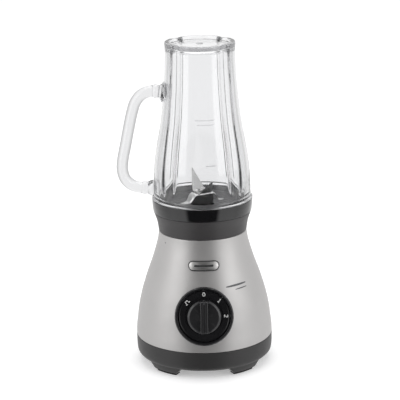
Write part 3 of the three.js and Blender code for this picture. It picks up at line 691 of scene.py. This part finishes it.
def blade(name, line, z0, az, node, drop=1.0):
    """A strip blade with ground edges. line: [distance, height, half width] from the middle to the tip."""
    c = curve(line, 5)
    c = c[:1] + [p for p in c[1:]]
    rows = []
    n = len(c)
    for i, (d, h, w) in enumerate(c):
        a, b = c[max(0, i - 1)], c[min(n - 1, i + 1)]
        t = Vector((b[0] - a[0], b[1] - a[1])).normalized()
        nx, nz = (-t.y, t.x) if i else (0.0, 1.0)
        rows.append((d, h, max(w, 0.15), nx, nz))
    lower = []
    for i, (d, h, w) in enumerate(c):
        a, b = c[max(0, i - 1)], c[min(n - 1, i + 1)]
        t = Vector((b[0] - a[0], (b[1] - a[1]) * drop)).normalized()
        lower.append((-d, h * drop, max(w, 0.15), t.y, t.x))
    full = lower[:0:-1] + rows
    T = 1.2
    loops = []
    for d, h, w, nx, nz in full:
        g = min(1.8, w * 0.5) if abs(d) > 6.5 else 0.25  # ground edge
        sec = [(-w, 0.0), (w, 0.0), (w, 0.12), (w - g, T), (-w + g, T), (-w, 0.12)]
        if abs(d) <= 6.5:
            sec = [(-w + 0.2, 0.0), (w - 0.2, 0.0), (w, 0.2), (w - 0.2, T), (-w + 0.2, T), (-w, 0.2)]
        loops.append([(x, d + nx * s, z0 + h + nz * s) for x, s in sec])
    ob = rings(name, loops, STEEL, matrix=Matrix.Rotation(az, 4, "Z"), smooth=24)
    hole = lathe("t", [(0, z0 - 4), (2.5, z0 - 4), (2.5, z0 + 5), (0, z0 + 5)], STEEL, seg=32, closed=False)
    boolean(ob, [hole], smooth=24)
    place(ob, "blades", "blade_steel", node)


blade("blade_upper", [(0, 0, 7.0), (5.8, 0.0, 7.0), (7.0, 0.4, 6.9), (8.2, 1.7, 6.6), (12.5, 7.6, 5.0), (17, 13.8, 2.9), (20, 18.0, 1.3), (21.7, 20.3, 0.25)], 173.9, AZ, "upper_blade", 0.78)
blade("blade_lower", [(0, 0, 6.2), (8.2, 0, 6.2), (10.2, -0.3, 6.2), (12.0, -1.9, 6.0), (13.6, -4.6, 5.7), (15.0, -6.8, 5.3), (16.8, -8.2, 4.7), (20.5, -9.2, 3.2), (24.6, -9.9, 0.7)], 172.4, AZ + math.pi / 2, "lower_blade")
nut = fillet([(2.6, 175.4, 0), (4.3, 175.4, 0), (4.6, 175.7, 0), (4.6, 177.5, 0), (4.1, 178.0, 0), (2.6, 178.0, 0)], True, 1)
place(lathe("tip_nut", nut, STEEL, seg=6, smooth=20), "blades", "blade_steel", "blade_nut")
sp = fillet([(0, 141.6, 0), (2.9, 141.6, 0.3), (2.95, 172.1, 0.1), (2.25, 172.2, 0), (2.25, 178.6, 0.5), (0, 179.0, 0)], False, 3)
place(lathe("spindle", sp, SHAFT, seg=40, closed=False), "blades", "shaft_steel", "blade_spindle")

# ---------------------------------------------------------------- mug
FLUTE = [-1.4, -1.25, -1.12, -1.04, -0.97, -0.9, -0.8, -0.65, -0.5, -0.34, -0.17, 0, 0.17, 0.34, 0.5, 0.65, 0.8, 0.9, 0.97, 1.04, 1.12, 1.25, 1.4]
BETWEEN = 13


def flute_shape(t):
    g = 1 - t * t
    e = 0.16
    return 0.5 * (g + math.sqrt(g * g + e * e)) - (0.5 * (-0.96 + math.sqrt(0.96 ** 2 + e * e)))


def fluted_ring(r, z, depth, half):
    """half: the flute's half width in mm."""
    out = []
    h = math.degrees(half / r)
    for q in range(4):
        c = 45 + 90 * q
        for t in FLUTE:
            out.append((c + h * t, max(0.0, flute_shape(t))))
        a0, a1 = c + h * FLUTE[-1], c + 90 + h * FLUTE[0]
        for k in range(1, BETWEEN):
            out.append((a0 + (a1 - a0) * k / BETWEEN, 0.0))
    ring = []
    for a, s in out:
        x, y = polar(r - depth * s, a)
        ring.append((x, y, z))
    return ring


# r, z, flute depth, flute half width
OUT = curve([(48.6, 176.2, 0.0, 5.0), (48.5, 179.0, 0.6, 5.6), (48.45, 182.0, 1.9, 6.6), (48.3, 186.5, 3.3, 7.4), (48.0, 193.0, 4.0, 7.8), (46.9, 207.0, 4.0, 7.8), (43.8, 227.0, 3.5, 7.5), (40.1, 247, 2.9, 7.2), (37.7, 267, 2.5, 7.0), (35.9, 287, 2.3, 6.8),
             (34.8, 307, 2.3, 6.6), (34.5, 319, 2.4, 6.5), (34.75, 323.6, 2.5, 6.4)], 5)
IN = curve([(30.3, 318.4, 1.0, 6.3), (30.8, 313, 1.1, 6.4), (31.1, 305, 1.2, 6.5), (32.4, 287, 1.3, 6.8), (34.1, 267, 1.4, 7.0), (36.4, 247, 1.7, 7.3), (39.9, 227, 2.1, 7.8), (42.9, 207, 2.4, 8.2), (43.9, 193, 2.3, 8.2), (44.0, 186, 1.7, 7.8), (43.95, 181, 0.8, 6.8), (43.9, 177, 0.0, 5.0)], 5)
rows = [(0, 322.4, 0, 0), (8, 322.4, 0, 4), (16, 322.3, 0.2, 5), (22, 322.2, 0.0, 6), (27.3, 321.7, 0.2, 6.2), (29.1, 320.4, 0.4, 6.3)] + IN
rows += [(43.8, 174.2, 0, 5), (43.6, 172.4, 0, 5), (43.1, 170.6, 0, 5), (42.7, 169.2, 0, 5), (42.6, 167.6, 0, 5), (42.6, 161.2, 0, 5), (42.9, 160.7, 0, 5), (43.4, 160.5, 0, 5), (45.5, 160.5, 0, 5), (46.0, 160.7, 0, 5), (46.2, 161.2, 0, 5),
         (46.2, 169.2, 0, 5), (46.4, 169.5, 0, 5), (49.8, 169.5, 0, 5), (50.3, 169.7, 0, 5), (50.5, 170.1, 0, 5), (50.45, 170.7, 0, 5), (50.1, 171.3, 0, 5), (49.5, 171.8, 0, 5), (49.0, 172.3, 0, 5), (48.75, 173.2, 0, 5), (48.65, 174.6, 0, 5)]
rows += OUT
rows += [(34.9, 325.2, 2.6, 6.4), (34.75, 326.3, 2.7, 6.4), (34.25, 327.0, 2.7, 6.3), (33.4, 327.2, 2.7, 6.2), (31.0, 327.2, 2.9, 6.4), (30.3, 327.0, 3.0, 6.5), (29.8, 326.4, 3.1, 6.6), (29.5, 325.2, 3.1, 6.6), (29.0, 324.7, 3.0, 6.5), (27.8, 324.5, 2.4, 6.2), (22, 324.55, 1.0, 5.5), (16, 324.6, 0.4, 5), (8, 324.6, 0, 4), (0, 324.6, 0, 0)]
verts, faces, loops = [], [], []
for r, z, d, h in rows:
    if r == 0:
        loops.append([len(verts)])
        verts.append((0, 0, z))
    else:
        ring = fluted_ring(r, z, d, h)
        loops.append(list(range(len(verts), len(verts) + len(ring))))
        verts += ring
for a, b in zip(loops, loops[1:]):
    n = max(len(a), len(b))
    for k in range(n):
        l = (k + 1) % n
        if len(a) == 1:
            faces.append((a[0], b[l], b[k]))
        elif len(b) == 1:
            faces.append((a[k], a[l], b[0]))
        else:
            faces.append((a[k], a[l], b[l], b[k]))
mug = build("clear_mug", verts, faces, CLEAR, smooth=50)
place(mug, "mug", "mug_clear", "mug_body")

# Handle: one swept bar with a flared foot at each end that follows the mug's wall.


def mug_r(z):
    pts = [(50.45, 170.7), (50.1, 171.3), (49.5, 171.8), (49.0, 172.3), (48.75, 173.2), (48.65, 174.6)] + [(p[0], p[1]) for p in OUT]
    for (r0, z0), (r1, z1) in zip(pts, pts[1:]):
        if z <= z1:
            return r0 + (r1 - r0) * max(0.0, (z - z0) / (z1 - z0))
    return pts[-1][0]


PATH = [(-36.3, 277.0), (-42, 277.7), (-50, 277.9), (-58.4, 274.4), (-64.4, 267.4), (-68.0, 257.3), (-71.1, 244), (-75.3, 224), (-78.6, 208), (-79.0, 197.5), (-76.0, 188.4), (-68.4, 182.0), (-59, 180.0), (-50, 179.6)]
path = curve([(x, z) for x, z in PATH], 7)
length = [0.0]
for a, b in zip(path, path[1:]):
    length.append(length[-1] + (Vector(b) - Vector(a)).length)
total = length[-1]


def handle_ring(i, kx=1.0, shrink=1.0):
    x, z = path[i]
    a, b = path[max(0, i - 1)], path[min(len(path) - 1, i + 1)]
    t = (Vector(b) - Vector(a)).normalized()
    s, e = length[i], total - length[i]
    flare = 4.6 * math.exp(-(s / 3.4) ** 2) + 1.6 * math.exp(-((s - 8.4) / 1.6) ** 2) + 2.2 * math.exp(-(e / 3.2) ** 2) + 1.1 * math.exp(-((e - 7.4) / 1.5) ** 2)
    rw, rt = 6.3 + flare, 5.75 + flare
    out = []
    for k in range(40):
        p = 2 * math.pi * k / 40
        # an oval section, a little thinner in the plane of the bend than across it
        c, q = math.cos(p), math.sin(p)
        across, up = rw * q * shrink, rt * c * shrink
        out.append((x - t.y * up, across, z + t.x * up))
    return out


def fit(ring, keep=1.0):
    return [(-math.sqrt(max(1.0, (mug_r(z) + 0.32) ** 2 - y * y)), y, z) for x, y, z in ring]


loops = []
for sh in (0.2, 0.45, 0.7, 0.9):
    loops.append(fit(handle_ring(0, shrink=sh)))
loops.append([(x - 0.05, y, z) for x, y, z in fit(handle_ring(0))])
for i in range(1, len(path) - 1):
    ring = handle_ring(i)
    lim = fit(ring)
    near = length[i] < 8 or total - length[i] < 8
    loops.append([(min(p[0], q[0] - 0.35 - 0.02 * k), p[1], p[2]) for k, (p, q) in enumerate(zip(ring, lim))] if near else ring)
last = handle_ring(len(path) - 1)
loops.append([(x - 0.05, y, z) for x, y, z in fit(last)])
for sh in (0.9, 0.7, 0.45, 0.2):
    loops.append(fit(handle_ring(len(path) - 1, shrink=sh)))
place(rings("mug_grip", loops, CLEAR, smooth=60), "mug", "mug_clear", "mug_handle")

# Two faint level lines and a short one, moulded on the mug's front, and the moulding mark on its closed end.
def moulded_line(u0, u1, z, w=0.9, h=0.3):
    verts, faces, n = [], [], 16
    for k in range(n + 1):
        u = u0 + (u1 - u0) * k / n
        for dz, dr in ((-w / 2, 0.03), (-w / 4, h), (w / 4, h), (w / 2, 0.03)):
            r = mug_r(z + dz) + dr
            verts.append((r * math.sin(u / r), -r * math.cos(u / r), z + dz))
    for k in range(n):
        i, j = 4 * k, 4 * k + 4
        faces += [(i + m, j + m, j + m + 1, i + m + 1) for m in range(3)] + [(i + 3, j + 3, j, i)]
    faces += [(3, 2, 1, 0), (4 * n, 4 * n + 1, 4 * n + 2, 4 * n + 3)]
    return build("t", verts, faces, ETCHED)


gate = lathe("t", fillet([(0, 324.7, 0), (3.4, 324.7, 0.1), (3.1, 325.15, 0.2), (1.4, 325.2, 0.3), (1.1, 324.95, 0.2), (0, 324.95, 0)], False, 3), ETCHED, seg=48, closed=False)
place(join("mug_marks", [moulded_line(-6, 13, 255.8), moulded_line(-4, 12.5, 251.4, 0.7), moulded_line(4, 14, 212.0), gate]), "mug", "mug_clear")

# ---------------------------------------------------------------- couplings, inlet and screws


def star(r0, r1, z, k=1.0):
    out = []
    for i in range(6):
        for da, r in ((-11, r1), (11, r1), (19, r0), (41, r0)):
            a = math.radians(60 * i + da)
            out.append((k * r * math.cos(a), k * r * math.sin(a), z))
    return out


cup = lathe("drive_socket", fillet([(4.3, 140.0, 0), (14.9, 140.0, 0.4), (15.5, 140.6, 0.3), (15.5, 147.4, 0.9), (14.3, 149.0, 0.6), (4.3, 149.0, 0)], True, 4), NYLON, seg=96)
boolean(cup, [rings("t", [star(7.9, 11.9, 143.0), star(7.9, 11.9, 148.0), star(7.9, 11.9, 149.4, 1.09)], NYLON)], smooth=30)
place(cup, "rotor", "coupler_plastic", "drive_coupler")
jaw = rings("driven_star", [star(7.2, 11.2, 143.6, 0.92), star(7.2, 11.2, 144.5), star(7.2, 11.2, 148.9)], NYLON, smooth=30)
boolean(jaw, [lathe("t", [(0, 142), (3.2, 142), (3.2, 150), (0, 150)], NYLON, seg=40, closed=False)], smooth=30)
bevel(jaw, 0.25, 2)
place(jaw, "blades", "coupler_plastic", "driven_coupler")

along_y = Matrix.Translation((0, 68, 19)) @ Matrix.Rotation(-math.pi / 2, 4, "X")
bush = fillet([(3.9, -7, 0), (4.9, -7, 0), (4.9, 1.3, 0), (7.3, 1.3, 0.15), (7.4, 1.9, 0.3), (7.0, 2.9, 0.4), (6.3, 3.2, 0.3), (5.9, 2.7, 0.3), (5.3, 2.7, 0.3), (4.8, 3.15, 0.3), (4.2, 3.1, 0.4), (3.9, 2.4, 0.3)], True, 4)
place(lathe("inlet_bush", bush, RUBBER, seg=96, matrix=along_y), "base", "inlet_rubber", "cord_inlet_bushing")

for i in range(1, 5):
    lo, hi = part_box("bottom_screw_%d" % i)
    cx, cy = (lo[0] + hi[0]) * 500, (lo[1] + hi[1]) * 500
    M = Matrix.Translation((cx, cy, 0)) @ Matrix.Rotation(0.4 + 0.9 * i, 4, "Z")
    screw = lathe("base_screw_%d" % i, fillet([(0, 5.6, 0), (2.7, 5.6, 0.6), (3.6, 6.0, 0.4), (4.0, 6.9, 0.2), (4.0, 7.7, 0.1), (1.4, 7.7, 0), (1.4, 22, 0), (0, 22, 0)], False, 3), SCREW, seg=48, closed=False, matrix=M)
    for a, b in ((2.3, 0.45), (0.45, 2.3)):
        boolean(screw, [rings("t", [[(-a, -b, z), (a, -b, z), (a, b, z), (-a, b, z)] for z in (5.0, 6.8)], SCREW, matrix=M)])
    place(screw, "base", "screw_steel", "bottom_screw_%d" % i)

# ---------------------------------------------------------------- stage and light


def make_stage():
    me = bpy.data.meshes.new("floor")
    s = 6.0
    me.from_pydata([(-s, -s, 0), (s, -s, 0), (s, s, 0), (-s, s, 0)], [], [(0, 1, 2, 3)])
    floor = bpy.data.objects.new("floor", me)
    SCENE.collection.objects.link(floor)
    m = Nodes("floor_white")
    m.link(m.mix(m.range(m.noise(3), 0, 1), (0.90, 0.90, 0.905), (0.93, 0.93, 0.935)), m.bsdf.inputs["Base Color"])
    m.set(Roughness=0.9, Specular_IOR_Level=0.1, Emission_Color=(1, 1, 1, 1), Emission_Strength=0.34)
    me.materials.append(m.mat)
    floor.visible_glossy = False
    floor.visible_transmission = False
    floor.location.z = -0.0002

    def softbox(name, az, el, dist, w, h, radiance, target=(0, 0, 0.15)):
        light = bpy.data.lights.new(name, "AREA")
        light.shape, light.size, light.size_y = "RECTANGLE", w, h
        light.energy = radiance * math.pi * w * h
        ob = bpy.data.objects.new(name, light)
        SCENE.collection.objects.link(ob)
        a, e = math.radians(az), math.radians(el)
        t = Vector(target)
        pos = t + Vector((math.sin(a) * math.cos(e), -math.cos(a) * math.cos(e), math.sin(e))) * dist
        ob.location = pos
        ob.rotation_euler = (t - pos).to_track_quat("-Z", "Y").to_euler()
        return ob

    softbox("softbox_left", -58, 18, 1.5, 1.05, 1.2, 1.02)
    softbox("softbox_right", 58, 18, 1.5, 1.05, 1.2, 1.08)
    softbox("softbox_top", 180, 78, 1.6, 1.4, 1.1, 1.6)

    world = bpy.data.worlds.new("studio")
    SCENE.world = world
    world.use_nodes = True
    t = world.node_tree
    bg = next(n for n in t.nodes if n.type == "BACKGROUND")
    path_ = t.nodes.new("ShaderNodeLightPath")

    def mixf(fac, a, b):
        n = t.nodes.new("ShaderNodeMix")
        n.data_type = "FLOAT"
        t.links.new(fac, n.inputs[0])
        for s_, v_ in ((n.inputs[2], a), (n.inputs[3], b)):
            if isinstance(v_, (int, float)):
                s_.default_value = v_
            else:
                t.links.new(v_, s_)
        return n.outputs[0]

    geo = t.nodes.new("ShaderNodeTexCoord")
    sep = t.nodes.new("ShaderNodeSeparateXYZ")
    t.links.new(geo.outputs["Generated"], sep.inputs[0])
    def math_node(op, a_, b_=None):
        n = t.nodes.new("ShaderNodeMath")
        n.operation = op
        for i_, v_ in enumerate((a_, b_)):
            if v_ is None:
                continue
            if isinstance(v_, (int, float)):
                n.inputs[i_].default_value = v_
            else:
                t.links.new(v_, n.inputs[i_])
        return n.outputs[0]

    azimuth = math_node("ABSOLUTE", math_node("ARCTAN2", sep.outputs["X"], math_node("MULTIPLY", sep.outputs["Y"], -1.0)))

    def step(lo, hi):
        n = t.nodes.new("ShaderNodeMapRange")
        n.interpolation_type = "SMOOTHSTEP"
        n.inputs["From Min"].default_value, n.inputs["From Max"].default_value = lo, hi
        t.links.new(azimuth, n.inputs["Value"])
        return n.outputs["Result"]

    # what shiny surfaces mirror: a dark front, a soft box on each side, grey walls and a white back
    mirrored = mixf(step(0.54, 0.76), 0.03, 1.10)
    mirrored = mixf(step(1.25, 1.55), mirrored, 0.95)
    mirrored = mixf(step(2.0, 2.7), mirrored, 0.95)
    strength = mixf(path_.outputs["Is Glossy Ray"], 0.72, mirrored)
    # what is seen through the clear mug: white behind it and in front of it, greyer walls at the sides
    through = mixf(step(0.8, 1.5), 0.85, 0.50)
    through = mixf(step(2.1, 3.0), through, 1.04)
    strength = mixf(path_.outputs["Is Transmission Ray"], strength, through)
    strength = mixf(path_.outputs["Is Camera Ray"], strength, 1.05)
    bg.inputs["Color"].default_value = (1, 1, 1, 1)
    t.links.new(strength, bg.inputs["Strength"])


make_stage()
SCENE.view_settings.view_transform = "Standard"
SCENE.view_settings.look = "None"
SCENE.view_settings.exposure = 0.0
# clear walls behind one another need long light paths
SCENE.cycles.max_bounces = 40
SCENE.cycles.transmission_bounces = 40
SCENE.cycles.glossy_bounces = 24
